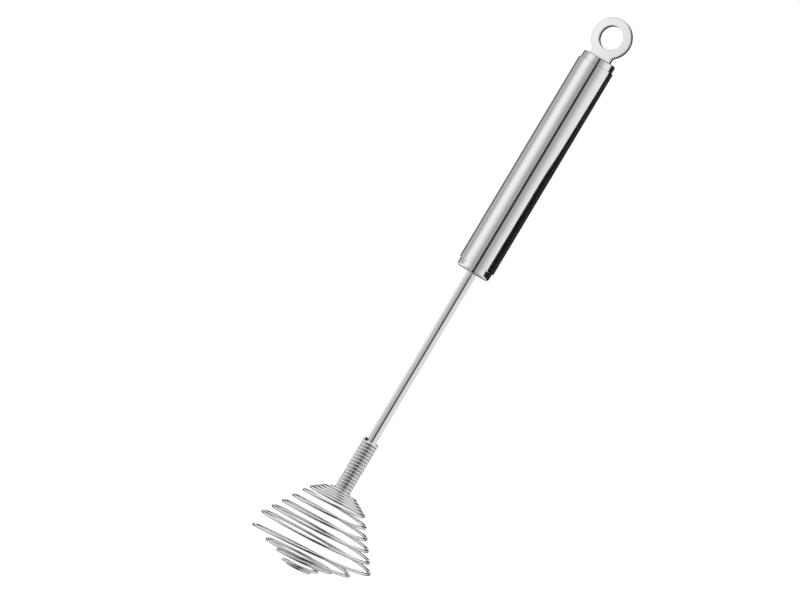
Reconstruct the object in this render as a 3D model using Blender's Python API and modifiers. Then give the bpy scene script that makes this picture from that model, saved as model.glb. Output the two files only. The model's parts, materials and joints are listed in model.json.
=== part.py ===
"""Spiral whisk, 27 cm: a steel tube handle with two end caps and a hanging ring,
a thin shaft, and one long wire that is wound on the shaft and opens into the whisking head.

The whisk hangs upright. The origin is the centre of the hole in the hanging ring, +Z runs up
the whisk's axis, and the ring's front face looks along -Y. Lengths are in metres.
"""

import math

import bmesh
import bpy
import numpy as np
from mathutils import Vector

# Room left between two pieces that touch on the real whisk
CLEARANCE = 0.0003

# Hanging ring: a stamped plate with a round eye, on a short shank
EYE_RADIUS = 0.0053
RING_RADIUS = 0.0089
RING_THICKNESS = 0.0025
RING_EDGE = 0.0004
SHANK_WIDTH = 0.0100
SHANK_FILLET = 0.0015
EYE_TO_CAP = 0.0099
TANG_WIDTH = 0.0064
TANG_THICKNESS = 0.0016
TANG_ROOT = 0.0015
TANG_HEAD_MARGIN = 0.0007
TANG_HEAD_HEIGHT = 0.0012

# Handle tube and its two turned caps
TUBE_DIAMETER = 0.0164
TUBE_WALL = 0.0012
TUBE_LENGTH = 0.0984
TUBE_RIM = 0.0003
TOP_COLLAR_DIAMETER = 0.0150
TOP_COLLAR_LENGTH = 0.0029
TOP_COLLAR_EDGE = 0.0005
BOTTOM_COLLAR_DIAMETER = 0.0152
BOTTOM_COLLAR_LENGTH = 0.0034
BOTTOM_COLLAR_EDGE = 0.0012
SPIGOT_LENGTH = 0.0080
SPIGOT_EDGE = 0.0006

# Shaft: a polished rod whose thinner top end is riveted over inside the bottom cap
SHAFT_DIAMETER = 0.0047
SHAFT_SHOULDER_EDGE = 0.0002
SHAFT_TIP_EDGE = 0.0010
SHAFT_PAST_NECK = 0.0012
TENON_DIAMETER = 0.0034
RIVET_DIAMETER = 0.0064
RIVET_HEIGHT = 0.0014
RIVET_EDGE = 0.0007

# Wire, and the neck where it is wound close round the shaft
WIRE_DIAMETER = 0.00115
HANDLE_TO_NECK = 0.0823
NECK_TURNS = 15.6
NECK_PITCH = 0.00157

# Head, stage by stage down from the neck. Each drop is how far the wire descends in its stage.
SWING_TURNS = 1.0
SWING_RADIUS = 0.0073
SWING_DROP = 0.0013
SHOULDER_TURNS = 4.0
SHOULDER_RADIUS = 0.0131
SHOULDER_DROP = 0.0038
CONE_TURNS = 5.0
CONE_RADIUS = 0.0270
CONE_DROP = 0.0203
STEP_TURNS = 0.6
STEP_DROP = 0.00435
HOLD_TURNS = 0.3
FOOT_TURNS = 4.0
FOOT_RADIUS = 0.0055
FOOT_DROP = 0.0085
FOOT_BEND = 1.8
CLOSING_TURNS = 0.1
EASE_TURNS = 0.35

# The turns sit a little askew: they dip, and their centres drift, along one bearing from the ring's face
HEAD_BEARING = math.radians(22.0)
CONE_LEAN = math.radians(2.5)
FOOT_LEAN = math.radians(4.7)
SHOULDER_DRIFT = 0.0003
CONE_DRIFT = 0.0013
FOOT_DRIFT = 0.0001

# Fineness of the meshes
FACETS = 64
ARC_STEPS = 4
EYE_POINTS = 48
RIM_POINTS = 52
EDGE_RESOLUTION = 1
NECK_POINTS = 12
HEAD_POINTS = 24
WIRE_RESOLUTION = 1
EASE_SAMPLES = 9
MERGE_DISTANCE = 0.00001
CUT_MARGIN = 0.002

# Heights that follow from the sizes above
TOP_CAP_TOP = -EYE_TO_CAP
TUBE_TOP = TOP_CAP_TOP - TOP_COLLAR_LENGTH - CLEARANCE
TUBE_BOTTOM = TUBE_TOP - TUBE_LENGTH
BOTTOM_CAP_BOTTOM = TUBE_BOTTOM - CLEARANCE - BOTTOM_COLLAR_LENGTH
NECK_TOP = BOTTOM_CAP_BOTTOM - HANDLE_TO_NECK
NECK_BOTTOM = NECK_TOP - NECK_TURNS * NECK_PITCH - WIRE_DIAMETER

SPIGOT_RADIUS = TUBE_DIAMETER / 2 - TUBE_WALL - CLEARANCE
NECK_COIL_RADIUS = (SHAFT_DIAMETER / 2 + CLEARANCE + WIRE_DIAMETER / 2) / math.cos(math.pi / NECK_POINTS)
HEAD_TURNS = SWING_TURNS + SHOULDER_TURNS + CONE_TURNS + HOLD_TURNS + FOOT_TURNS + CLOSING_TURNS


def clear_scene():
    for leftover in list(bpy.data.objects):
        bpy.data.objects.remove(leftover)


def new_collection(name):
    collection = bpy.data.collections.new(name)
    bpy.context.scene.collection.children.link(collection)
    return collection


def steel(name, colour, roughness):
    """A stainless steel finish."""
    material = bpy.data.materials.new(name)
    material.use_nodes = True
    shader = material.node_tree.nodes["Principled BSDF"]
    shader.inputs["Base Color"].default_value = (*colour, 1.0)
    shader.inputs["Metallic"].default_value = 1.0
    shader.inputs["Roughness"].default_value = roughness
    return material


def arc(centre, radius, start, end, steps):
    """Points along an arc from the angle start to the angle end, both ends included."""
    angles = np.linspace(start, end, steps + 1)
    return [(centre[0] + radius * math.cos(a), centre[1] + radius * math.sin(a)) for a in angles]


def rounded(corners):
    """The points of an outline given by its corners (across, along, radius of the corner)."""
    points = []
    for index, (across, along, radius) in enumerate(corners):
        corner = Vector((across, along))
        if radius == 0.0:
            points.append((across, along))
            continue
        before = (Vector(corners[index - 1][:2]) - corner).normalized()
        after = (Vector(corners[(index + 1) % len(corners)][:2]) - corner).normalized()
        half_angle = before.angle(after) / 2
        centre = corner + (before + after).normalized() * (radius / math.sin(half_angle))
        first = corner + before * (radius / math.tan(half_angle)) - centre
        last = corner + after * (radius / math.tan(half_angle)) - centre
        start = math.atan2(first.y, first.x)
        sweep = math.remainder(math.atan2(last.y, last.x) - start, math.tau)
        points.extend(arc(centre, radius, start, start + sweep, ARC_STEPS))
    return points


def add_object(name, data, collection, material=None, parent=None):
    made = bpy.data.objects.new(name, data)
    collection.objects.link(made)
    if material:
        data.materials.append(material)
    made.parent = parent
    return made


def turned(name, outline, bored, collection, material, parent):
    """A turned piece: its outline runs down the outer side, and closes up the bore where there is one."""
    count = len(outline)
    edges = [(index, index + 1) for index in range(count - 1)]
    if bored:
        edges.append((count - 1, 0))
    mesh = bpy.data.meshes.new(name)
    mesh.from_pydata([(across, 0.0, along) for across, along in outline], edges, [])
    piece = add_object(name, mesh, collection, material, parent)
    screw = piece.modifiers.new("Turning", "SCREW")
    screw.axis = "Z"
    screw.angle = math.tau
    screw.steps = FACETS
    screw.render_steps = FACETS
    screw.use_merge_vertices = True
    screw.merge_threshold = MERGE_DISTANCE
    screw.use_smooth_shade = True
    return piece


def rounded_block(name, size, centre, edge, collection):
    """A block with rounded edges, used to join or cut a shape."""
    mesh = bpy.data.meshes.new(name)
    shape = bmesh.new()
    bmesh.ops.create_cube(shape, size=1.0)
    bmesh.ops.scale(shape, vec=size, verts=shape.verts)
    bmesh.ops.translate(shape, vec=centre, verts=shape.verts)
    if edge:
        bmesh.ops.bevel(
            shape, geom=shape.edges[:], offset=edge, segments=2, profile=0.5, affect="EDGES"
        )
    shape.to_mesh(mesh)
    shape.free()
    block = add_object(name, mesh, collection)
    block.hide_render = True
    block.display_type = "WIRE"
    return block


def combine(piece, other, operation):
    boolean = piece.modifiers.new(other.name, "BOOLEAN")
    boolean.operation = operation
    boolean.solver = "EXACT"
    boolean.object = other


def ring_outline():
    """The ring's rim with a concave fillet on each side, running into the shank's straight sides."""
    half_width = SHANK_WIDTH / 2
    fillet_across = half_width + SHANK_FILLET
    fillet_along = -math.sqrt((RING_RADIUS + SHANK_FILLET) ** 2 - fillet_across**2)
    meeting = math.atan2(fillet_along, fillet_across)
    shank_end = CLEARANCE - EYE_TO_CAP
    rim = arc((0.0, 0.0), RING_RADIUS, meeting, math.pi - meeting, RIM_POINTS)
    left = arc((-fillet_across, fillet_along), SHANK_FILLET, -meeting, 0.0, ARC_STEPS)
    right = arc((fillet_across, fillet_along), SHANK_FILLET, math.pi, math.pi + meeting, ARC_STEPS)
    return rim + left[1:] + [(-half_width, shank_end), (half_width, shank_end)] + right[:-1]


def add_closed_spline(curve, outline):
    spline = curve.splines.new("POLY")
    spline.points.add(len(outline) - 1)
    for point, (across, along) in zip(spline.points, outline):
        point.co = (across, along, 0.0, 1.0)
    spline.use_cyclic_u = True


def ring_plate(collection, material, parent):
    """The flat plate with its eye and rounded edges, stood upright and made one closed mesh."""
    curve = bpy.data.curves.new("ring_plate_outline", "CURVE")
    curve.dimensions = "2D"
    curve.fill_mode = "BOTH"
    curve.extrude = RING_THICKNESS / 2 - RING_EDGE
    curve.bevel_depth = RING_EDGE
    curve.bevel_resolution = EDGE_RESOLUTION
    curve.offset = -RING_EDGE
    add_closed_spline(curve, ring_outline())
    eye = arc((0.0, 0.0), EYE_RADIUS, 0.0, -math.tau, EYE_POINTS)
    add_closed_spline(curve, eye[:-1])
    flat = add_object("ring_plate_outline", curve, collection)
    flat.rotation_euler.x = math.pi / 2
    bpy.context.view_layer.update()
    depsgraph = bpy.context.evaluated_depsgraph_get()
    mesh = bpy.data.meshes.new_from_object(flat.evaluated_get(depsgraph))
    mesh.transform(flat.matrix_world)
    bpy.data.objects.remove(flat)
    shape = bmesh.new()
    shape.from_mesh(mesh)
    bmesh.ops.remove_doubles(shape, verts=shape.verts, dist=MERGE_DISTANCE)
    bmesh.ops.recalc_face_normals(shape, faces=shape.faces)
    shape.to_mesh(mesh)
    shape.free()
    return add_object("hanging_ring", mesh, collection, material, parent)


def make_hanging_ring(collection, cutters, material, parent):
    """The ring plate, its tang through the top cap and the tang's end, peened over under the cap."""
    ring = ring_plate(collection, material, parent)
    cap_bottom = TUBE_TOP - SPIGOT_LENGTH
    tang_top = TANG_ROOT - EYE_TO_CAP
    head_top = cap_bottom - CLEARANCE
    head_bottom = head_top - TANG_HEAD_HEIGHT
    tang = rounded_block(
        "tang",
        (TANG_WIDTH, TANG_THICKNESS, tang_top - (head_top + head_bottom) / 2),
        (0.0, 0.0, (tang_top + (head_top + head_bottom) / 2) / 2),
        0.0,
        cutters,
    )
    head = rounded_block(
        "tang_head",
        (
            TANG_WIDTH + 2 * TANG_HEAD_MARGIN,
            TANG_THICKNESS + 2 * TANG_HEAD_MARGIN,
            TANG_HEAD_HEIGHT,
        ),
        (0.0, 0.0, (head_top + head_bottom) / 2),
        TANG_HEAD_HEIGHT / 4,
        cutters,
    )
    combine(ring, tang, "UNION")
    combine(ring, head, "UNION")


def make_top_cap(collection, cutters, material, parent):
    """A turned plug: its collar rests on the tube's rim, and the ring's tang passes through its slot."""
    spigot_top = TUBE_TOP + CLEARANCE
    spigot_bottom = TUBE_TOP - SPIGOT_LENGTH
    collar_radius = TOP_COLLAR_DIAMETER / 2
    outline = rounded(
        [
            (0.0, TOP_CAP_TOP, 0.0),
            (collar_radius, TOP_CAP_TOP, TOP_COLLAR_EDGE),
            (collar_radius, spigot_top, 0.0),
            (SPIGOT_RADIUS, spigot_top, 0.0),
            (SPIGOT_RADIUS, spigot_bottom, SPIGOT_EDGE),
            (0.0, spigot_bottom, 0.0),
        ]
    )
    cap = turned("top_cap", outline, False, collection, material, parent)
    slot = rounded_block(
        "tang_slot",
        (
            TANG_WIDTH + 2 * CLEARANCE,
            TANG_THICKNESS + 2 * CLEARANCE,
            TOP_CAP_TOP - spigot_bottom + 2 * CUT_MARGIN,
        ),
        (0.0, 0.0, (TOP_CAP_TOP + spigot_bottom) / 2),
        0.0,
        cutters,
    )
    combine(cap, slot, "DIFFERENCE")


def make_handle_tube(collection, material, parent):
    outer = TUBE_DIAMETER / 2
    inner = outer - TUBE_WALL
    outline = rounded(
        [
            (outer, TUBE_TOP, TUBE_RIM),
            (outer, TUBE_BOTTOM, TUBE_RIM),
            (inner, TUBE_BOTTOM, 0.0),
            (inner, TUBE_TOP, 0.0),
        ]
    )
    turned("handle_tube", outline, True, collection, material, parent)


def make_bottom_cap(collection, material, parent):
    """A turned plug with a rounded lower edge, bored for the shaft's tenon."""
    bore = TENON_DIAMETER / 2 + CLEARANCE
    collar_radius = BOTTOM_COLLAR_DIAMETER / 2
    collar_top = TUBE_BOTTOM - CLEARANCE
    spigot_top = TUBE_BOTTOM + SPIGOT_LENGTH
    outline = rounded(
        [
            (bore, spigot_top, 0.0),
            (SPIGOT_RADIUS, spigot_top, SPIGOT_EDGE),
            (SPIGOT_RADIUS, collar_top, 0.0),
            (collar_radius, collar_top, 0.0),
            (collar_radius, BOTTOM_CAP_BOTTOM, BOTTOM_COLLAR_EDGE),
            (bore, BOTTOM_CAP_BOTTOM, 0.0),
        ]
    )
    turned("bottom_cap", outline, True, collection, material, parent)


def make_shaft(collection, material, parent):
    """The rod: its shoulder stops under the bottom cap, and its riveted end holds it from above."""
    rivet_bottom = TUBE_BOTTOM + SPIGOT_LENGTH + CLEARANCE
    rivet_top = rivet_bottom + RIVET_HEIGHT
    shoulder = BOTTOM_CAP_BOTTOM - CLEARANCE
    tip = NECK_BOTTOM - SHAFT_PAST_NECK
    outline = rounded(
        [
            (0.0, rivet_top, 0.0),
            (RIVET_DIAMETER / 2, rivet_top, RIVET_EDGE),
            (RIVET_DIAMETER / 2, rivet_bottom, 0.0),
            (TENON_DIAMETER / 2, rivet_bottom, 0.0),
            (TENON_DIAMETER / 2, shoulder, 0.0),
            (SHAFT_DIAMETER / 2, shoulder, SHAFT_SHOULDER_EDGE),
            (SHAFT_DIAMETER / 2, tip, SHAFT_TIP_EDGE),
            (0.0, tip, 0.0),
        ]
    )
    turned("shaft", outline, False, collection, material, parent)


def share(turn, start, turns):
    """How much of a stage that starts at one turn and lasts some turns is behind this turn, 0 to 1."""
    return np.clip((turn - start) / turns, 0.0, 1.0)


def winding(turn):
    """Coil radius, drop below the neck, lean and drift of the turns, before the stages are eased."""
    shoulder_start = SWING_TURNS
    cone_start = shoulder_start + SHOULDER_TURNS
    step_start = cone_start + CONE_TURNS
    swing = share(turn, 0.0, SWING_TURNS)
    shoulder = share(turn, shoulder_start, SHOULDER_TURNS)
    cone = share(turn, cone_start, CONE_TURNS)
    step = share(turn, step_start, STEP_TURNS)
    foot = share(turn, step_start + HOLD_TURNS, FOOT_TURNS)
    radius = NECK_COIL_RADIUS + (SWING_RADIUS - NECK_COIL_RADIUS) * swing
    radius += (SHOULDER_RADIUS - SWING_RADIUS) * shoulder
    radius += (CONE_RADIUS - SHOULDER_RADIUS) * cone
    radius += (FOOT_RADIUS - CONE_RADIUS) * (1.0 - (1.0 - foot) ** FOOT_BEND)
    drop = NECK_PITCH * np.minimum(turn, 0.0) + SWING_DROP * swing + SHOULDER_DROP * shoulder
    drop += CONE_DROP * cone + STEP_DROP * step + FOOT_DROP * foot
    lean = CONE_LEAN * share(turn, 0.0, cone_start) + (FOOT_LEAN - CONE_LEAN) * step
    drift = SHOULDER_DRIFT * swing + (CONE_DRIFT - SHOULDER_DRIFT) * cone
    drift += (FOOT_DRIFT - CONE_DRIFT) * step
    return np.array([radius, drop, lean, drift])


def wire_points(turns):
    """The wire's centreline at these turns, counted from the neck's last one, above the neck's foot.
    It is right-handed. Averaging over a third of a turn eases each stage into the next."""
    shifts = np.linspace(-EASE_TURNS / 2, EASE_TURNS / 2, EASE_SAMPLES)
    radius, drop, lean, drift = sum(winding(turns + shift) for shift in shifts) / EASE_SAMPLES
    angle = -math.tau * turns
    along_bearing = radius * np.cos(angle)
    across_bearing = radius * np.sin(angle)
    height = along_bearing * np.tan(lean) - drop
    along_bearing += drift
    x = along_bearing * math.cos(HEAD_BEARING) - across_bearing * math.sin(HEAD_BEARING)
    y = along_bearing * math.sin(HEAD_BEARING) + across_bearing * math.cos(HEAD_BEARING)
    return np.stack([x, y, height], axis=1)


def least_gap(points, turns):
    """The least gap between two stretches of the wire that lie over half a turn apart along it."""
    starts = points[:-1]
    runs = points[1:] - starts
    least = math.inf
    for point, turn in zip(points, turns):
        along = ((point - starts) * runs).sum(axis=1) / (runs * runs).sum(axis=1)
        nearest = starts + np.clip(along, 0.0, 1.0)[:, None] * runs
        distances = np.linalg.norm(point - nearest, axis=1)
        apart = np.minimum(np.abs(turns[:-1] - turn), np.abs(turns[1:] - turn)) > 0.5
        least = min(least, distances[apart].min())
    return least - WIRE_DIAMETER


def make_spiral_wire(collection, material, parent):
    """One wire from its cut end at the top of the neck to its end in the foot."""
    neck_count = round(NECK_TURNS * NECK_POINTS)
    head_count = round(HEAD_TURNS * HEAD_POINTS)
    neck = np.linspace(-NECK_TURNS, 0.0, neck_count, endpoint=False)
    head = np.linspace(0.0, HEAD_TURNS, head_count + 1)
    turns = np.concatenate([neck, head])
    points = wire_points(turns)
    gap = least_gap(points, turns)
    print(f"Wire: {len(points)} points, least gap between its turns {gap * 1000:.2f} mm")
    curve = bpy.data.curves.new("spiral_wire", "CURVE")
    curve.dimensions = "3D"
    curve.bevel_depth = WIRE_DIAMETER / 2
    curve.bevel_resolution = WIRE_RESOLUTION
    curve.use_fill_caps = True
    spline = curve.splines.new("POLY")
    spline.points.add(len(points) - 1)
    for control, place in zip(spline.points, points):
        control.co = (*place, 1.0)
    spline.use_smooth = True
    add_object("spiral_wire", curve, collection, material, parent)


def main():
    clear_scene()
    whisk = new_collection("Spiral whisk")
    cutters = new_collection("Cutters")
    brushed = steel("Brushed steel", (0.60, 0.60, 0.60), 0.30)
    bright = steel("Bright steel", (0.72, 0.72, 0.72), 0.15)
    blasted = steel("Bead-blasted steel", (0.80, 0.80, 0.80), 0.45)
    wire_steel = steel("Spring wire", (0.70, 0.70, 0.70), 0.20)
    handle = add_object("handle_frame", None, whisk)
    neck_foot = add_object("neck_foot", None, whisk, parent=handle)
    neck_foot.location.z = NECK_BOTTOM + WIRE_DIAMETER / 2
    make_hanging_ring(whisk, cutters, blasted, handle)
    make_top_cap(whisk, cutters, brushed, handle)
    make_handle_tube(whisk, brushed, handle)
    make_bottom_cap(whisk, brushed, handle)
    make_shaft(whisk, bright, handle)
    make_spiral_wire(whisk, wire_steel, neck_foot)


main()
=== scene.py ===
"""Looks of the spiral whisk: its steel finishes, its close-wound wire and the studio around it.
Lengths are in metres, in the part's own frame: origin at the eye of the hanging ring, +Z up."""

import json
import math

import bmesh
import bpy
import numpy as np
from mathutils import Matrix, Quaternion, Vector


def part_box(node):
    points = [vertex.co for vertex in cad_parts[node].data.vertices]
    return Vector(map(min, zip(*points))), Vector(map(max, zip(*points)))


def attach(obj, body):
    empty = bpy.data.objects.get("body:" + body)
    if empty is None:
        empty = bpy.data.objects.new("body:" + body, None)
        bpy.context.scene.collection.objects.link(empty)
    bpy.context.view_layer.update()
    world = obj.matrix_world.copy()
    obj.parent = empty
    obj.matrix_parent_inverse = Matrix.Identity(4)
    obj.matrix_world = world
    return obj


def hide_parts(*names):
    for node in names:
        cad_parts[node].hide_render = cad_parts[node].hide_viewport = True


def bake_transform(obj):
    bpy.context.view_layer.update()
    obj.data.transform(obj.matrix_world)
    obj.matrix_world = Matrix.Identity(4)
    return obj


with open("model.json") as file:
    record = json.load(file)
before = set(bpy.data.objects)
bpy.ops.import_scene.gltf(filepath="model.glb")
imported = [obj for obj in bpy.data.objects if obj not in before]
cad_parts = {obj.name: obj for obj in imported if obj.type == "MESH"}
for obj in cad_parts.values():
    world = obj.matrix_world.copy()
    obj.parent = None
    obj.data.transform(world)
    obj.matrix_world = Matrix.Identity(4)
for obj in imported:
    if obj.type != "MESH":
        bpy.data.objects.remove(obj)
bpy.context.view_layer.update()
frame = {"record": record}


# Handle tube
# A length of thin-walled stainless tube, brushed round and round on a belt. Both rims are
# broken with a file, and the caps are pressed into its bore, which also holds it together.

TUBE_WALL = 0.0012
TUBE_RIM = 0.0002
TURNED_STEPS = 192
ARC_STEPS = 6
MERGE_DISTANCE = 0.000001
FLAT_ANGLE = math.radians(32.0)

BRUSHED_BRIGHTNESS = 0.84
BRUSHED_ROUGHNESS = 0.10
BRUSHED_GRAIN = (55.0, 55.0, 2600.0)

# What the steels share: how fine the grain is, how far it moves brightness, gloss and height, and
# the broad smears of gloss over it
GRAIN_DETAIL = 5.0
GRAIN_CONTRAST = 0.65
GRAIN_LOW = 0.3
GRAIN_HIGH = 0.7
GRAIN_TINT = 0.06
GRAIN_GLOSS = 0.2
GRAIN_HEIGHT = 0.0000012
SMEAR_SCALE = 90.0
SMEAR_DETAIL = 3.0
SMEAR_GLOSS = 0.3


def arc(centre, radius, start, end, steps):
    """Points along an arc from the angle start to the angle end, both ends included."""
    angles = np.linspace(start, end, steps + 1)
    return [(centre[0] + radius * math.cos(a), centre[1] + radius * math.sin(a)) for a in angles]


def rounded(corners):
    """The points of an outline given by its corners (across, along, radius of the corner)."""
    points = []
    for index, (across, along, radius) in enumerate(corners):
        corner = Vector((across, along))
        if radius == 0.0:
            points.append((across, along))
            continue
        before = (Vector(corners[index - 1][:2]) - corner).normalized()
        after = (Vector(corners[(index + 1) % len(corners)][:2]) - corner).normalized()
        half_angle = before.angle(after) / 2
        centre = corner + (before + after).normalized() * (radius / math.sin(half_angle))
        first = corner + before * (radius / math.tan(half_angle)) - centre
        last = corner + after * (radius / math.tan(half_angle)) - centre
        start = math.atan2(first.y, first.x)
        sweep = math.remainder(math.atan2(last.y, last.x) - start, math.tau)
        points.extend(arc(centre, radius, start, start + sweep, ARC_STEPS))
    return points


def placed(name, data):
    """A new object in the scene, made of this mesh, curve, lens or lamp."""
    thing = bpy.data.objects.new(name, data)
    bpy.context.scene.collection.objects.link(thing)
    return thing


def mesh_of(name, shape):
    """The mesh of a shape in the making, which is used up."""
    mesh = bpy.data.meshes.new(name)
    shape.to_mesh(mesh)
    shape.free()
    return mesh


def close_up(shape):
    """Merges the points that lie on each other, and turns every face outward."""
    bmesh.ops.remove_doubles(shape, verts=shape.verts, dist=MERGE_DISTANCE)
    bmesh.ops.recalc_face_normals(shape, faces=shape.faces)


def spun(outline, closed, steps):
    """A shape turned once about the whisk's axis, from the points (across, along) of its outline."""
    shape = bmesh.new()
    corners = [shape.verts.new((across, 0.0, along)) for across, along in outline]
    edges = [shape.edges.new(pair) for pair in zip(corners[:-1], corners[1:])]
    if closed:
        edges.append(shape.edges.new((corners[-1], corners[0])))
    bmesh.ops.spin(
        shape,
        geom=corners + edges,
        cent=(0.0, 0.0, 0.0),
        axis=(0.0, 0.0, 1.0),
        angle=math.tau,
        steps=steps,
        use_merge=True,
    )
    return shape


def add_piece(name, mesh, materials):
    """A piece with smooth rounds and crisp flats."""
    for material in materials:
        mesh.materials.append(material)
    mesh.shade_smooth()
    mesh.set_sharp_from_angle(angle=FLAT_ANGLE)
    piece = placed(name, mesh)
    normals = piece.modifiers.new("Even shading", "WEIGHTED_NORMAL")
    normals.keep_sharp = True
    return piece


def turned(name, outline, bored, materials):
    """A piece turned about the whisk's axis, from an outline that runs down its outer side."""
    shape = spun(outline, bored, TURNED_STEPS)
    close_up(shape)
    return add_piece(name, mesh_of(name, shape), materials)


def steel(name, brightness, roughness, grain, tint=GRAIN_TINT, height=GRAIN_HEIGHT):
    """Stainless steel with a grain: fine lines that differ a little in brightness, gloss and height.

    The grain says how fine its lines are along x, y and z. Broad smears of gloss lie over them.
    """
    material = bpy.data.materials.new(name)
    material.use_nodes = True
    nodes = material.node_tree.nodes
    links = material.node_tree.links
    shader = nodes["Principled BSDF"]
    shader.inputs["Metallic"].default_value = 1.0

    place = nodes.new("ShaderNodeTexCoord")
    stretch = nodes.new("ShaderNodeMapping")
    stretch.inputs["Scale"].default_value = grain
    links.new(place.outputs["Object"], stretch.inputs["Vector"])
    lines = nodes.new("ShaderNodeTexNoise")
    lines.inputs["Scale"].default_value = 1.0
    lines.inputs["Detail"].default_value = GRAIN_DETAIL
    lines.inputs["Roughness"].default_value = GRAIN_CONTRAST
    links.new(stretch.outputs["Vector"], lines.inputs["Vector"])
    smears = nodes.new("ShaderNodeTexNoise")
    smears.inputs["Scale"].default_value = SMEAR_SCALE
    smears.inputs["Detail"].default_value = SMEAR_DETAIL
    links.new(place.outputs["Object"], smears.inputs["Vector"])

    dull = brightness * (1.0 - tint)
    bright = min(1.0, brightness * (1.0 + tint))
    colour = nodes.new("ShaderNodeMix")
    colour.data_type = "RGBA"
    colour.inputs["A"].default_value = (dull, dull, dull, 1.0)
    colour.inputs["B"].default_value = (bright, bright, bright, 1.0)
    links.new(lines.outputs["Fac"], colour.inputs["Factor"])
    links.new(colour.outputs["Result"], shader.inputs["Base Color"])

    gloss = nodes.new("ShaderNodeMapRange")
    gloss.inputs["From Min"].default_value = GRAIN_LOW
    gloss.inputs["From Max"].default_value = GRAIN_HIGH
    gloss.inputs["To Min"].default_value = roughness * (1.0 - GRAIN_GLOSS)
    gloss.inputs["To Max"].default_value = roughness * (1.0 + GRAIN_GLOSS)
    links.new(lines.outputs["Fac"], gloss.inputs["Value"])
    smeared = nodes.new("ShaderNodeMath")
    smeared.operation = "MULTIPLY_ADD"
    smeared.inputs[1].default_value = roughness * SMEAR_GLOSS
    links.new(smears.outputs["Fac"], smeared.inputs[0])
    links.new(gloss.outputs["Result"], smeared.inputs[2])
    links.new(smeared.outputs["Value"], shader.inputs["Roughness"])

    relief = nodes.new("ShaderNodeBump")
    relief.inputs["Distance"].default_value = height
    links.new(lines.outputs["Fac"], relief.inputs["Height"])
    links.new(relief.outputs["Normal"], shader.inputs["Normal"])
    return material


tube_low, tube_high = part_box("handle_tube")
tube_radius = tube_high.x
bore_radius = tube_radius - TUBE_WALL
brushed = steel("brushed_tube_steel", BRUSHED_BRIGHTNESS, BRUSHED_ROUGHNESS, BRUSHED_GRAIN)
tube = turned(
    "brushed_tube",
    rounded(
        [
            (tube_radius, tube_high.z, TUBE_RIM),
            (tube_radius, tube_low.z, TUBE_RIM),
            (bore_radius, tube_low.z, TUBE_RIM / 2),
            (bore_radius, tube_high.z, TUBE_RIM / 2),
        ]
    ),
    True,
    [brushed],
)
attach(tube, "handle")
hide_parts("handle_tube")


# Top cap
# A stainless plug turned on a lathe and pressed into the tube. Its collar is narrower than the
# tube, with a broken edge, and a milled slot takes the ring's tang.

# Play round a fitted piece, and the hair's breadth between two pieces that sit on each other
FIT = 0.0003
SEATED = 0.00003

COLLAR_DIAMETER = 0.0150
COLLAR_EDGE = 0.0005
SPIGOT_EDGE = 0.0006
TANG_WIDTH = 0.0064
TANG_THICKNESS = 0.0016
CUT_MARGIN = 0.002
BLOCK_EDGE_STEPS = 3

TURNED_BRIGHTNESS = 0.84
TURNED_ROUGHNESS = 0.12
TURNED_GRAIN = (40.0, 40.0, 3500.0)


def hidden_block(name, size, centre, edge):
    """A block that joins or cuts a piece and doesn't show by itself."""
    shape = bmesh.new()
    bmesh.ops.create_cube(shape, size=1.0)
    bmesh.ops.scale(shape, vec=size, verts=shape.verts)
    bmesh.ops.translate(shape, vec=centre, verts=shape.verts)
    if edge:
        bmesh.ops.bevel(
            shape,
            geom=shape.edges[:],
            offset=edge,
            segments=BLOCK_EDGE_STEPS,
            profile=0.5,
            affect="EDGES",
        )
    return placed(name, mesh_of(name, shape))


def shown_mesh(thing):
    """The mesh that an object shows, its modifiers and place included. The object is used up."""
    bpy.context.view_layer.update()
    shown = thing.evaluated_get(bpy.context.evaluated_depsgraph_get())
    mesh = bpy.data.meshes.new_from_object(shown)
    mesh.transform(thing.matrix_world)
    bpy.data.objects.remove(thing)
    return mesh


def combined(mesh, others):
    """The mesh joined with, or cut by, each block in turn. The blocks are used up."""
    body = placed("being_combined", mesh)
    for block, operation in others:
        boolean = body.modifiers.new(block.name, "BOOLEAN")
        boolean.operation = operation
        boolean.solver = "EXACT"
        boolean.object = block
    made = shown_mesh(body)
    for block, _ in others:
        bpy.data.objects.remove(block)
    return made


top_low, top_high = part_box("top_cap")
spigot_radius = bore_radius - FIT
seat = tube_high.z + SEATED
turned_steel = steel("turned_cap_steel", TURNED_BRIGHTNESS, TURNED_ROUGHNESS, TURNED_GRAIN)
top_cap = turned(
    "turned_top_cap",
    rounded(
        [
            (0.0, top_high.z, 0.0),
            (COLLAR_DIAMETER / 2, top_high.z, COLLAR_EDGE),
            (COLLAR_DIAMETER / 2, seat, 0.0),
            (spigot_radius, seat, 0.0),
            (spigot_radius, top_low.z, SPIGOT_EDGE),
            (0.0, top_low.z, 0.0),
        ]
    ),
    False,
    [turned_steel],
)
slot_cutter = hidden_block(
    "slot_cutter",
    (TANG_WIDTH + 2 * FIT, TANG_THICKNESS + 2 * FIT, top_high.z - top_low.z + 2 * CUT_MARGIN),
    (0.0, 0.0, (top_high.z + top_low.z) / 2),
    0.0,
)
top_cap.data = combined(top_cap.data, [(slot_cutter, "DIFFERENCE")])
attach(top_cap, "handle")
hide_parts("top_cap")


# Hanging ring
# A stamping from 2.5 mm stainless plate, blasted to a pale satin. Its edges are rounded off, its
# shank stands on the top cap, and its tang runs down through the slot and is peened over below.

EYE_RADIUS = 0.0053
PLATE_EDGE = 0.0004
PLATE_EDGE_STEPS = 12
FACING = 0.9999
SHANK_WIDTH = 0.0100
SHANK_FILLET = 0.0015
TANG_ROOT = 0.0015
TANG_HEAD_MARGIN = 0.0007
TANG_HEAD_HEIGHT = 0.0012
RIM_STEPS = 120
FILLET_STEPS = 10

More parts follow.
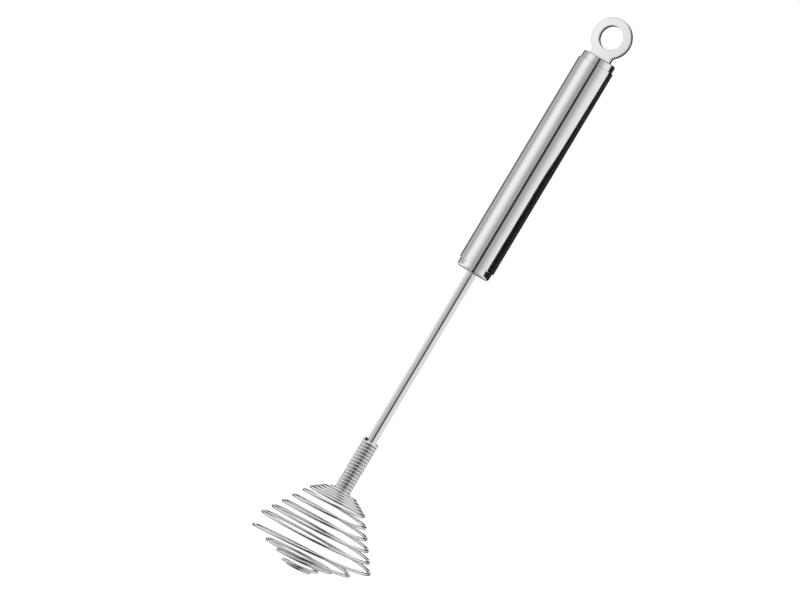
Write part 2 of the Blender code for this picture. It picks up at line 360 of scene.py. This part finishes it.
BLASTED_BRIGHTNESS = 0.95
BLASTED_ROUGHNESS = 0.22
BLASTED_GRAIN = (3200.0, 3200.0, 3200.0)
BLASTED_TINT = 0.03


def ring_outline(ring_radius, shank_end):
    """The ring's rim, with a concave fillet on each side where it meets the shank."""
    half_width = SHANK_WIDTH / 2
    fillet_across = half_width + SHANK_FILLET
    fillet_along = -math.sqrt((ring_radius + SHANK_FILLET) ** 2 - fillet_across**2)
    meeting = math.atan2(fillet_along, fillet_across)
    rim = arc((0.0, 0.0), ring_radius, meeting, math.pi - meeting, RIM_STEPS)
    left = arc((-fillet_across, fillet_along), SHANK_FILLET, -meeting, 0.0, FILLET_STEPS)
    right = arc((fillet_across, fillet_along), SHANK_FILLET, math.pi, math.pi + meeting, FILLET_STEPS)
    return rim + left[1:] + [(-half_width, shank_end), (half_width, shank_end)] + right[:-1]


def plate_mesh(outlines, thickness):
    """An upright plate with rounded edges, facing -Y, from closed outlines: the rim, then each hole."""
    curve = bpy.data.curves.new("plate", "CURVE")
    curve.dimensions = "2D"
    curve.fill_mode = "BOTH"
    curve.extrude = thickness / 2 - PLATE_EDGE
    curve.bevel_depth = PLATE_EDGE
    curve.bevel_resolution = PLATE_EDGE_STEPS
    curve.offset = -PLATE_EDGE
    for outline in outlines:
        spline = curve.splines.new("POLY")
        spline.points.add(len(outline) - 1)
        for point, (across, along) in zip(spline.points, outline):
            point.co = (across, along, 0.0, 1.0)
        spline.use_cyclic_u = True
    flat = placed("plate", curve)
    flat.rotation_euler.x = math.pi / 2
    mesh = shown_mesh(flat)
    shape = bmesh.new()
    shape.from_mesh(mesh)
    close_up(shape)
    shape.to_mesh(mesh)
    shape.free()
    return mesh


def crease_round_faces(mesh):
    """Parts the plate's two flat faces from their rounded edges, so that they shade dead flat."""
    shape = bmesh.new()
    shape.from_mesh(mesh)
    for edge in shape.edges:
        flat = [abs(face.normal.y) > FACING for face in edge.link_faces]
        if any(flat) and not all(flat):
            edge.smooth = False
    shape.to_mesh(mesh)
    shape.free()


ring_low, ring_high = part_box("hanging_ring")
ring_radius = ring_high.z
mounts = {mount["name"]: mount for mount in frame["record"]["mounts"]}
plate_thickness = 2 * abs(mounts["ring_front"]["pos_m"][1])
eye = arc((0.0, 0.0), EYE_RADIUS, 0.0, -math.tau, RIM_STEPS)[:-1]
tang_top = top_high.z + TANG_ROOT
tang_bottom = ring_low.z + TANG_HEAD_HEIGHT / 2
tang = hidden_block(
    "tang",
    (TANG_WIDTH, TANG_THICKNESS, tang_top - tang_bottom),
    (0.0, 0.0, (tang_top + tang_bottom) / 2),
    0.0,
)
tang_head = hidden_block(
    "tang_head",
    (
        TANG_WIDTH + 2 * TANG_HEAD_MARGIN,
        TANG_THICKNESS + 2 * TANG_HEAD_MARGIN,
        TANG_HEAD_HEIGHT,
    ),
    (0.0, 0.0, tang_bottom),
    TANG_HEAD_HEIGHT / 4,
)
satin = steel(
    "blasted_ring_steel", BLASTED_BRIGHTNESS, BLASTED_ROUGHNESS, BLASTED_GRAIN, BLASTED_TINT
)
ring_mesh = combined(
    plate_mesh([ring_outline(ring_radius, top_high.z + SEATED), eye], plate_thickness),
    [(tang, "UNION"), (tang_head, "UNION")],
)
ring = add_piece("blasted_ring", ring_mesh, [satin])
crease_round_faces(ring.data)
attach(ring, "handle")
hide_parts("hanging_ring")


# Bottom cap
# The same kind of turned plug as the top cap, with a slightly wider collar whose lower edge is
# well rounded, and drilled through for the shaft.

BOTTOM_COLLAR_DIAMETER = 0.0152
BOTTOM_COLLAR_EDGE = 0.0012
TENON_DIAMETER = 0.0034

bottom_low, bottom_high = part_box("bottom_cap")
bottom_bore = TENON_DIAMETER / 2 + FIT
bottom_cap = turned(
    "turned_bottom_cap",
    rounded(
        [
            (bottom_bore, bottom_high.z, 0.0),
            (spigot_radius, bottom_high.z, SPIGOT_EDGE),
            (spigot_radius, tube_low.z - SEATED, 0.0),
            (BOTTOM_COLLAR_DIAMETER / 2, tube_low.z - SEATED, 0.0),
            (BOTTOM_COLLAR_DIAMETER / 2, bottom_low.z, BOTTOM_COLLAR_EDGE),
            (bottom_bore, bottom_low.z, 0.0),
        ]
    ),
    True,
    [turned_steel],
)
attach(bottom_cap, "handle")
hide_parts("bottom_cap")


# Shaft
# A drawn stainless rod, polished along its length. Its thinner top end passes through the bottom
# cap and is riveted over inside the tube, and its lower end is rounded.

SHAFT_DIAMETER = 0.0047
SHOULDER_EDGE = 0.0002
TIP_EDGE = 0.0010
RIVET_HEIGHT = 0.0014
RIVET_EDGE = 0.0007

POLISHED_BRIGHTNESS = 0.86
POLISHED_ROUGHNESS = 0.08
POLISHED_GRAIN = (5200.0, 5200.0, 45.0)
POLISHED_TINT = 0.04
POLISHED_HEIGHT = 0.0000006

shaft_low, shaft_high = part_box("shaft")
rivet_low = shaft_high.z - RIVET_HEIGHT
shoulder = bottom_low.z - SEATED
polished = steel(
    "polished_rod_steel",
    POLISHED_BRIGHTNESS,
    POLISHED_ROUGHNESS,
    POLISHED_GRAIN,
    POLISHED_TINT,
    POLISHED_HEIGHT,
)
shaft = turned(
    "polished_shaft",
    rounded(
        [
            (0.0, shaft_high.z, 0.0),
            (shaft_high.x, shaft_high.z, RIVET_EDGE),
            (shaft_high.x, rivet_low, 0.0),
            (TENON_DIAMETER / 2, rivet_low, 0.0),
            (TENON_DIAMETER / 2, shoulder, 0.0),
            (SHAFT_DIAMETER / 2, shoulder, SHOULDER_EDGE),
            (SHAFT_DIAMETER / 2, shaft_low.z, TIP_EDGE),
            (0.0, shaft_low.z, 0.0),
        ]
    ),
    False,
    [polished],
)
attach(shaft, "handle")
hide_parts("shaft")


# Spiral wire
# One length of bright spring wire, wound tight on the shaft for sixteen and a half turns and then
# let out into the head: a shoulder, a cone of even turns, and a foot that closes in and ends level.

WIRE_DIAMETER = 0.0014
WIRE_FIT = 0.00002
NECK_TURNS = 16.6
NECK_PITCH = 0.001475

# Where the neck ends above the shaft's tip. The solid's wire is thinner, and sets that height.
SHAFT_PAST_NECK = 0.0012
SOLID_WIRE_DIAMETER = 0.00115

# The head, stage by stage down from the neck. Each drop is how far the wire descends in its stage.
SWING_TURNS = 1.0
SWING_RADIUS = 0.0073
SWING_DROP = 0.0011
SHOULDER_TURNS = 4.0
SHOULDER_RADIUS = 0.0131
SHOULDER_DROP = 0.0038
CONE_TURNS = 5.0
CONE_RADIUS = 0.0270
CONE_DROP = 0.0203
STEP_TURNS = 0.6
STEP_DROP = 0.00435
HOLD_TURNS = 0.3
FOOT_TURNS = 4.0
FOOT_RADIUS = 0.0055
FOOT_DROP = 0.0085
FOOT_BEND = 1.8
CLOSING_TURNS = 0.1
EASE_TURNS = 0.35

# The foot runs level from this share of its turns on, and its last turn lies a little lower
LEVEL_FROM = 0.85
LAST_TURN_START = 2.8
LAST_TURN_RUN = 0.5
LAST_TURN_DROP = 0.0006

# The turns sit a little askew: they dip, and their centres drift, along one bearing
HEAD_BEARING = math.radians(22.0)
CONE_LEAN = math.radians(2.5)
FOOT_LEAN = math.radians(4.7)
SHOULDER_DRIFT = 0.0003
CONE_DRIFT = 0.0013
FOOT_DRIFT = 0.0001

NECK_POINTS = 64
HEAD_POINTS = 96
EASE_SAMPLES = 9
WIRE_RESOLUTION = 7
CUT_RADII = (0.88, 0.97)

SPRING_BRIGHTNESS = 0.84
SPRING_ROUGHNESS = 0.10
SPRING_GRAIN = (900.0, 900.0, 900.0)
SPRING_TINT = 0.05
# The sheared ends are rough steel painted nearly black: a painted shade that makes each end a dark dot
SHEARED_END_PAINTED_DARK = 0.03
SHEARED_ROUGHNESS = 0.60
SHEARED_TINT = 0.2

HEAD_TURNS = SWING_TURNS + SHOULDER_TURNS + CONE_TURNS + HOLD_TURNS + FOOT_TURNS + CLOSING_TURNS
NECK_COIL_RADIUS = SHAFT_DIAMETER / 2 + WIRE_FIT + WIRE_DIAMETER / 2


def share(turn, start, turns):
    """How much of a stage that starts at one turn and lasts some turns is behind this turn, 0 to 1."""
    return np.clip((turn - start) / turns, 0.0, 1.0)


def winding(turn):
    """Coil radius, drop below the neck, lean and drift of the turns, before the stages are eased."""
    shoulder_start = SWING_TURNS
    cone_start = shoulder_start + SHOULDER_TURNS
    step_start = cone_start + CONE_TURNS
    swing = share(turn, 0.0, SWING_TURNS)
    shoulder_share = share(turn, shoulder_start, SHOULDER_TURNS)
    cone = share(turn, cone_start, CONE_TURNS)
    step = share(turn, step_start, STEP_TURNS)
    foot = share(turn, step_start + HOLD_TURNS, FOOT_TURNS)
    last_turn = share(turn, step_start + LAST_TURN_START, LAST_TURN_RUN)
    radius = NECK_COIL_RADIUS + (SWING_RADIUS - NECK_COIL_RADIUS) * swing
    radius += (SHOULDER_RADIUS - SWING_RADIUS) * shoulder_share
    radius += (CONE_RADIUS - SHOULDER_RADIUS) * cone
    radius += (FOOT_RADIUS - CONE_RADIUS) * (1.0 - (1.0 - foot) ** FOOT_BEND)
    drop = NECK_PITCH * np.minimum(turn, 0.0) + SWING_DROP * swing
    drop += SHOULDER_DROP * shoulder_share + CONE_DROP * cone + STEP_DROP * step
    drop += FOOT_DROP * np.minimum(foot, LEVEL_FROM) + LAST_TURN_DROP * last_turn
    lean = CONE_LEAN * share(turn, 0.0, cone_start) + (FOOT_LEAN - CONE_LEAN) * step
    drift = SHOULDER_DRIFT * swing + (CONE_DRIFT - SHOULDER_DRIFT) * cone
    drift += (FOOT_DRIFT - CONE_DRIFT) * step
    return np.array([radius, drop, lean, drift])


def wire_points(turns, neck_end):
    """The wire's centreline at these turns, counted from the neck's last one. It is right-handed."""
    shifts = np.linspace(-EASE_TURNS / 2, EASE_TURNS / 2, EASE_SAMPLES)
    radius, drop, lean, drift = sum(winding(turns + shift) for shift in shifts) / EASE_SAMPLES
    angle = -math.tau * turns
    along_bearing = radius * np.cos(angle)
    across_bearing = radius * np.sin(angle)
    height = neck_end + along_bearing * np.tan(lean) - drop
    along_bearing += drift
    x = along_bearing * math.cos(HEAD_BEARING) - across_bearing * math.sin(HEAD_BEARING)
    y = along_bearing * math.sin(HEAD_BEARING) + across_bearing * math.cos(HEAD_BEARING)
    return np.stack([x, y, height], axis=1)


def wire_mesh(points, cut_radii):
    """A round wire along the points, whose two sheared ends draw in a little.

    Its side is made of four-sided faces. Only the fill of its ends has triangles, and takes the steel of
    the sheared ends, whose near-black colour is painted shade.
    """
    curve = bpy.data.curves.new("wire", "CURVE")
    curve.dimensions = "3D"
    curve.bevel_depth = WIRE_DIAMETER / 2
    curve.bevel_resolution = WIRE_RESOLUTION
    curve.use_fill_caps = True
    spline = curve.splines.new("POLY")
    spline.points.add(len(points) - 1)
    for control, place in zip(spline.points, points):
        control.co = (*place, 1.0)
    for index, cut_radius in enumerate(cut_radii):
        spline.points[index].radius = cut_radius
        spline.points[-1 - index].radius = cut_radius
    mesh = shown_mesh(placed("wire", curve))
    shape = bmesh.new()
    shape.from_mesh(mesh)
    close_up(shape)
    for face in shape.faces:
        face.material_index = 1 if len(face.verts) == 3 else 0
    shape.to_mesh(mesh)
    shape.free()
    return mesh


neck_bottom = shaft_low.z + SHAFT_PAST_NECK
neck_end = neck_bottom + SOLID_WIRE_DIAMETER / 2
neck_turns = np.linspace(-NECK_TURNS, 0.0, round(NECK_TURNS * NECK_POINTS), endpoint=False)
head_turns = np.linspace(0.0, HEAD_TURNS, round(HEAD_TURNS * HEAD_POINTS) + 1)
centreline = wire_points(np.concatenate([neck_turns, head_turns]), neck_end)
spring_steel = steel(
    "bright_wire_steel", SPRING_BRIGHTNESS, SPRING_ROUGHNESS, SPRING_GRAIN, SPRING_TINT
)
# The steel of the wire's cut ends, painted nearly black as painted shade; only its roughness is the cut's
# own
painted_dark_end_steel = steel(
    "sheared_end_painted_dark_steel", SHEARED_END_PAINTED_DARK, SHEARED_ROUGHNESS, BLASTED_GRAIN, SHEARED_TINT
)
wire = add_piece("wound_wire", wire_mesh(centreline, CUT_RADII), [spring_steel, painted_dark_end_steel])
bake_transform(wire)
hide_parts("spiral_wire")


# Camera
# A long lens nearly two metres away, as high as the lower end of the handle, and rolled so that the
# whisk stands aslant. Bearings of the lamp and the screens are counted from it, to its right.

CAMERA_DISTANCE = 1.880
CAMERA_LENS = 200.25
CAMERA_BEARING = math.radians(22.0)
CAMERA_ROLL = math.radians(30.83)
LENS_HEIGHT = -0.1039
AIM_HEIGHT = -0.1406
AIM_LEFT = 0.02029


def from_bearing(bearing, elevation):
    """The direction towards a bearing from the camera, right positive, at an elevation."""
    plan = bearing + CAMERA_BEARING
    level = Vector((math.sin(plan), -math.cos(plan), 0.0))
    return level * math.cos(elevation) + Vector((0.0, 0.0, math.sin(elevation)))


scene = bpy.context.scene
scene.view_settings.view_transform = "Standard"
lens = bpy.data.cameras.new("long_lens")
lens.lens = CAMERA_LENS
camera = placed("long_lens", lens)
toward_camera = from_bearing(0.0, math.asin((LENS_HEIGHT - AIM_HEIGHT) / CAMERA_DISTANCE))
to_the_right = from_bearing(math.pi / 2, 0.0)
aim = Vector((0.0, 0.0, AIM_HEIGHT)) - to_the_right * AIM_LEFT
upright = toward_camera.to_track_quat("Z", "Y")
leaning = upright @ Quaternion((0.0, 0.0, 1.0), CAMERA_ROLL)
camera.location = aim + toward_camera * CAMERA_DISTANCE
camera.rotation_euler = leaning.to_euler()
scene.camera = camera


# Floor and room
# The whisk hangs over a painted white floor, which takes its shadow, in a room that is white to the
# eye and to the steel, and a plain light on surfaces. Seen from below, the floor is clear.

FLOOR_HEIGHT = -0.50
FLOOR_RADIUS = 30.0
FLOOR_SIDES = 64
FLOOR_PAINT = 0.82
FLOOR_GLOW = 0.42
WORLD_LIGHT = 0.75


def seen_directly(tree):
    """1 for a ray from the camera, or one that steel or glass has turned, and 0 for light on a surface."""
    path = tree.nodes.new("ShaderNodeLightPath")
    seen = path.outputs["Is Camera Ray"]
    for name in ("Is Glossy Ray", "Is Transmission Ray"):
        either = tree.nodes.new("ShaderNodeMath")
        either.operation = "MAXIMUM"
        tree.links.new(seen, either.inputs[0])
        tree.links.new(path.outputs[name], either.inputs[1])
        seen = either.outputs["Value"]
    return seen


def pale_floor():
    """A white floor under the whisk, bright to the eye, that keeps its shadow and vanishes from below."""
    shape = bmesh.new()
    bmesh.ops.create_circle(shape, cap_ends=True, segments=FLOOR_SIDES, radius=FLOOR_RADIUS)
    bmesh.ops.translate(shape, vec=(0.0, 0.0, FLOOR_HEIGHT), verts=shape.verts)
    mesh = mesh_of("pale_floor", shape)
    material = bpy.data.materials.new("floor_paint")
    material.use_nodes = True
    tree = material.node_tree
    tree.nodes.clear()
    paint = tree.nodes.new("ShaderNodeBsdfDiffuse")
    paint.inputs["Color"].default_value = (FLOOR_PAINT, FLOOR_PAINT, FLOOR_PAINT, 1.0)
    lift = tree.nodes.new("ShaderNodeEmission")
    seen = seen_directly(tree)
    strength = tree.nodes.new("ShaderNodeMath")
    strength.operation = "MULTIPLY"
    strength.inputs[1].default_value = FLOOR_GLOW
    tree.links.new(seen, strength.inputs[0])
    tree.links.new(strength.outputs["Value"], lift.inputs["Strength"])
    both = tree.nodes.new("ShaderNodeAddShader")
    tree.links.new(paint.outputs["BSDF"], both.inputs[0])
    tree.links.new(lift.outputs["Emission"], both.inputs[1])
    side = tree.nodes.new("ShaderNodeNewGeometry")
    clear = tree.nodes.new("ShaderNodeBsdfTransparent")
    choice = tree.nodes.new("ShaderNodeMixShader")
    tree.links.new(side.outputs["Backfacing"], choice.inputs["Fac"])
    tree.links.new(both.outputs["Shader"], choice.inputs[1])
    tree.links.new(clear.outputs["BSDF"], choice.inputs[2])
    output = tree.nodes.new("ShaderNodeOutputMaterial")
    tree.links.new(choice.outputs["Shader"], output.inputs["Surface"])
    mesh.materials.append(material)
    return placed("pale_floor", mesh)


def white_room():
    """A world that is white to the eye and a plain light on surfaces."""
    world = bpy.data.worlds.new("white_room")
    world.use_nodes = True
    tree = world.node_tree
    tree.nodes.clear()
    strength = tree.nodes.new("ShaderNodeMapRange")
    strength.inputs["To Min"].default_value = WORLD_LIGHT
    tree.links.new(seen_directly(tree), strength.inputs["Value"])
    background = tree.nodes.new("ShaderNodeBackground")
    background.inputs["Color"].default_value = (1.0, 1.0, 1.0, 1.0)
    tree.links.new(strength.outputs["Result"], background.inputs["Strength"])
    output = tree.nodes.new("ShaderNodeOutputWorld")
    tree.links.new(background.outputs["Background"], output.inputs["Surface"])
    return world


pale_floor()
scene.world = white_room()


# Softbox
# One large soft lamp, high up on the left of the camera. It gives the surfaces their plain light
# from one side and lays the whisk's shadow on the floor.

SOFTBOX_STRENGTH = 1.0
SOFTBOX_SPREAD = math.radians(40.0)
SOFTBOX_BEARING = math.radians(-50.0)
SOFTBOX_ELEVATION = math.radians(55.0)

soft_light = bpy.data.lights.new("softbox", "SUN")
soft_light.energy = SOFTBOX_STRENGTH
soft_light.angle = SOFTBOX_SPREAD
softbox = placed("softbox", soft_light)
toward_softbox = from_bearing(SOFTBOX_BEARING, SOFTBOX_ELEVATION)
softbox.rotation_euler = toward_softbox.to_track_quat("Z", "Y").to_euler()


# Light tent
# A drum of glowing paper round the handle and the ring, with a small darker card under the handle
# and a dark lid. Steel shows what stands round it, so the drum's bands are the handle's stripes.

TENT_RADIUS = 0.12
TENT_TOP = 0.065
TENT_HOLE = 0.0045
TENT_BASE = 0.0075
TENT_BELOW_HANDLE = 0.0001
SCREEN_STEPS = 96
LID_BRIGHTNESS = 0.22

# Brightness of what the steel reflects, by the bearing from the camera in degrees, right positive
TENT_BANDS = [
    (-180, 0.12),
    (-135, 0.12),
    (-131, 0.50),
    (-95, 0.48),
    (-72, 1.02),
    (-51, 1.00),
    (-23, 0.44),
    (-7, 0.42),
    (-5.5, 0.02),
    (6, 0.02),
    (8, 0.42),
    (24, 0.46),
    (51, 0.86),
    (71, 0.92),
    (97, 0.90),
    (104, 0.03),
    (172, 0.01),
    (180, 0.12),
]
BASE_BANDS = [(-180, 0.20), (-60, 0.22), (-15, 0.40), (20, 0.10), (100, 0.04), (180, 0.20)]


def all_round(brightness):
    """Bands of the same brightness at every bearing."""
    return [(-180, brightness), (180, brightness)]


def reflected_bands(tree, direction, bands):
    """Nodes that turn a direction into the brightness of its bearing."""
    nodes = tree.nodes
    links = tree.links
    turn = nodes.new("ShaderNodeMapping")
    turn.inputs["Rotation"].default_value.z = math.pi / 2 - CAMERA_BEARING
    links.new(direction, turn.inputs["Vector"])
    parts = nodes.new("ShaderNodeSeparateXYZ")
    links.new(turn.outputs["Vector"], parts.inputs["Vector"])
    bearing = nodes.new("ShaderNodeMath")
    bearing.operation = "ARCTAN2"
    links.new(parts.outputs["Y"], bearing.inputs[0])
    links.new(parts.outputs["X"], bearing.inputs[1])
    along = nodes.new("ShaderNodeMapRange")
    along.inputs["From Min"].default_value = -math.pi
    along.inputs["From Max"].default_value = math.pi
    links.new(bearing.outputs["Value"], along.inputs["Value"])
    ramp = nodes.new("ShaderNodeValToRGB")
    stops = ramp.color_ramp.elements
    stops.remove(stops[0])
    for index, (degrees, brightness) in enumerate(bands):
        position = (degrees + 180.0) / 360.0
        stop = stops[0] if index == 0 else stops.new(position)
        stop.position = position
        stop.color = (brightness, brightness, brightness, 1.0)
    links.new(along.outputs["Result"], ramp.inputs["Fac"])
    return ramp.outputs["Color"]


def lit_paper(name, inner_bands, outer_bands):
    """Glowing paper with its own bands on each side, dark where light passes it by."""
    material = bpy.data.materials.new(name)
    material.use_nodes = True
    tree = material.node_tree
    tree.nodes.clear()
    place = tree.nodes.new("ShaderNodeTexCoord")
    inner = reflected_bands(tree, place.outputs["Object"], inner_bands)
    outer = reflected_bands(tree, place.outputs["Object"], outer_bands)
    side = tree.nodes.new("ShaderNodeNewGeometry")
    choice = tree.nodes.new("ShaderNodeMix")
    choice.data_type = "RGBA"
    tree.links.new(side.outputs["Backfacing"], choice.inputs["Factor"])
    tree.links.new(inner, choice.inputs["A"])
    tree.links.new(outer, choice.inputs["B"])
    glow = tree.nodes.new("ShaderNodeEmission")
    tree.links.new(choice.outputs["Result"], glow.inputs["Color"])
    output = tree.nodes.new("ShaderNodeOutputMaterial")
    tree.links.new(glow.outputs["Emission"], output.inputs["Surface"])
    return material


def stand_screen(name, shape, paper):
    """Puts a screen of this shape in the scene so that only the steel's reflections see it."""
    mesh = mesh_of(name, shape)
    mesh.materials.append(paper)
    screen = placed(name, mesh)
    screen.visible_camera = False
    screen.visible_diffuse = False
    screen.visible_transmission = False
    screen.visible_volume_scatter = False
    screen.visible_shadow = False


def paper_screen(name, profile, paper):
    """A screen turned about the whisk's axis, which only the steel's reflections see.

    Its inner side is on the left of the profile as it runs.
    """
    shape = spun(profile, False, SCREEN_STEPS)
    run = Vector(profile[1]) - Vector(profile[0])
    shape.faces.ensure_lookup_table()
    first = shape.faces[0]
    centre = first.calc_center_median()
    outward = Vector((centre.x, centre.y, 0.0)).normalized()
    inner_side = outward * -run.y + Vector((0.0, 0.0, run.x))
    if first.normal.dot(inner_side) < 0.0:
        bmesh.ops.reverse_faces(shape, faces=shape.faces)
    stand_screen(name, shape, paper)


white = all_round(1.0)
tent_bottom = bottom_low.z - TENT_BELOW_HANDLE
paper_screen(
    "handle_tent",
    [(TENT_BASE, tent_bottom), (TENT_RADIUS, tent_bottom), (TENT_RADIUS, TENT_TOP)],
    lit_paper("tent_paper", TENT_BANDS, white),
)
paper_screen(
    "tent_base",
    [(TENT_HOLE, tent_bottom), (TENT_BASE, tent_bottom)],
    lit_paper("base_card", BASE_BANDS, white),
)
paper_screen(
    "tent_lid",
    [(TENT_RADIUS, TENT_TOP), (TENT_HOLE, TENT_TOP)],
    lit_paper("dark_card", all_round(LID_BRIGHTNESS), white),
)


# Black flag
# A curved black card inside the tent, on the handle's right. Its left edge swings outward as it
# rises, so its reflection, the dark strip down the handle, gets narrower towards the ring.

FLAG_RADIUS = 0.1180
FLAG_FOOT_RADIUS = 0.0078
FLAG_LIFT = 0.0002
FLAG_RIGHT = 112.0
FLAG_COLUMNS = 8
FLAG_BRIGHTNESS = 0.005

# Bearing of the left edge in degrees: at the foot's inner and outer end, and at heights up the side
FLAG_FOOT_LEFT = (69.0, 70.5)
FLAG_SIDE_LEFT = [(-0.0610, 75.0), (-0.0510, 84.5), (-0.0160, 94.5), (0.0600, 98.0)]


def leaning_flag(name, foot_height, card):
    """The flag, with a foot that lies just above the tent's floor and reaches in to the handle."""
    inner_left, outer_left = FLAG_FOOT_LEFT
    edge = [(FLAG_FOOT_RADIUS, foot_height, inner_left), (FLAG_RADIUS, foot_height, outer_left)]
    edge += [(FLAG_RADIUS, height, left) for height, left in FLAG_SIDE_LEFT]
    shape = bmesh.new()
    rows = []
    for radius, height, left in edge:
        row = []
        for degrees in np.linspace(left, FLAG_RIGHT, FLAG_COLUMNS + 1):
            point = from_bearing(math.radians(degrees), 0.0) * radius
            point.z = height
            row.append(shape.verts.new(point))
        rows.append(row)
    for lower, upper in zip(rows[:-1], rows[1:]):
        for column in range(FLAG_COLUMNS):
            shape.faces.new((lower[column], lower[column + 1], upper[column + 1], upper[column]))
    stand_screen(name, shape, card)


black = all_round(FLAG_BRIGHTNESS)
leaning_flag("leaning_flag", tent_bottom + FLAG_LIFT, lit_paper("black_card", black, black))


# Screens of the room
# Glowing papers further out, in three belts one above the other, and one on the ground. They do
# for the shaft and the wire what the tent does for the handle.

ROOM_RADIUS = 0.70
ROOM_TOP = 0.55
ROOM_BOTTOM = -0.49
BELT_TOP = -0.119
BELT_BOTTOM = -0.25

# Brightness by the bearing from the camera in degrees, right positive
SHAFT_BANDS = [
    (-180, 0.80),
    (-125, 0.83),
    (-100, 0.84),
    (-84, 0.72),
    (-60, 0.61),
    (-30, 0.54),
    (-15, 0.50),
    (-6, 0.09),
    (21, 0.09),
    (28, 0.80),
    (60, 0.78),
    (95, 0.81),
    (125, 0.83),
    (180, 0.80),
]
WIRE_BANDS = [
    (-180, 0.03),
    (-152, 0.03),
    (-128, 0.92),
    (-90, 0.86),
    (-60, 0.44),
    (-42, 0.22),
    (-15, 0.12),
    (-1, 0.03),
    (23, 0.02),
    (30, 0.12),
    (37, 0.36),
    (50, 0.50),
    (80, 0.62),
    (125, 0.88),
    (152, 0.03),
    (180, 0.03),
]
GROUND_BANDS = [
    (-180, 0.35),
    (-100, 0.56),
    (-60, 0.32),
    (-42, 0.17),
    (-15, 0.08),
    (-1, 0.02),
    (23, 0.02),
    (30, 0.10),
    (37, 0.28),
    (50, 0.38),
    (90, 0.48),
    (180, 0.35),
]

shaft_paper = lit_paper("shaft_paper", SHAFT_BANDS, SHAFT_BANDS)
wire_paper = lit_paper("wire_paper", WIRE_BANDS, WIRE_BANDS)
ground_paper = lit_paper("ground_paper", GROUND_BANDS, GROUND_BANDS)
paper_screen("shaft_screen", [(ROOM_RADIUS, BELT_BOTTOM), (ROOM_RADIUS, BELT_TOP)], shaft_paper)
paper_screen("low_screen", [(ROOM_RADIUS, ROOM_BOTTOM), (ROOM_RADIUS, BELT_BOTTOM)], wire_paper)
paper_screen("high_screen", [(ROOM_RADIUS, BELT_TOP), (ROOM_RADIUS, ROOM_TOP)], wire_paper)
paper_screen("ground_screen", [(TENT_HOLE, ROOM_BOTTOM), (ROOM_RADIUS, ROOM_BOTTOM)], ground_paper)


# Brings the scene up to date at the end

bpy.context.view_layer.update()
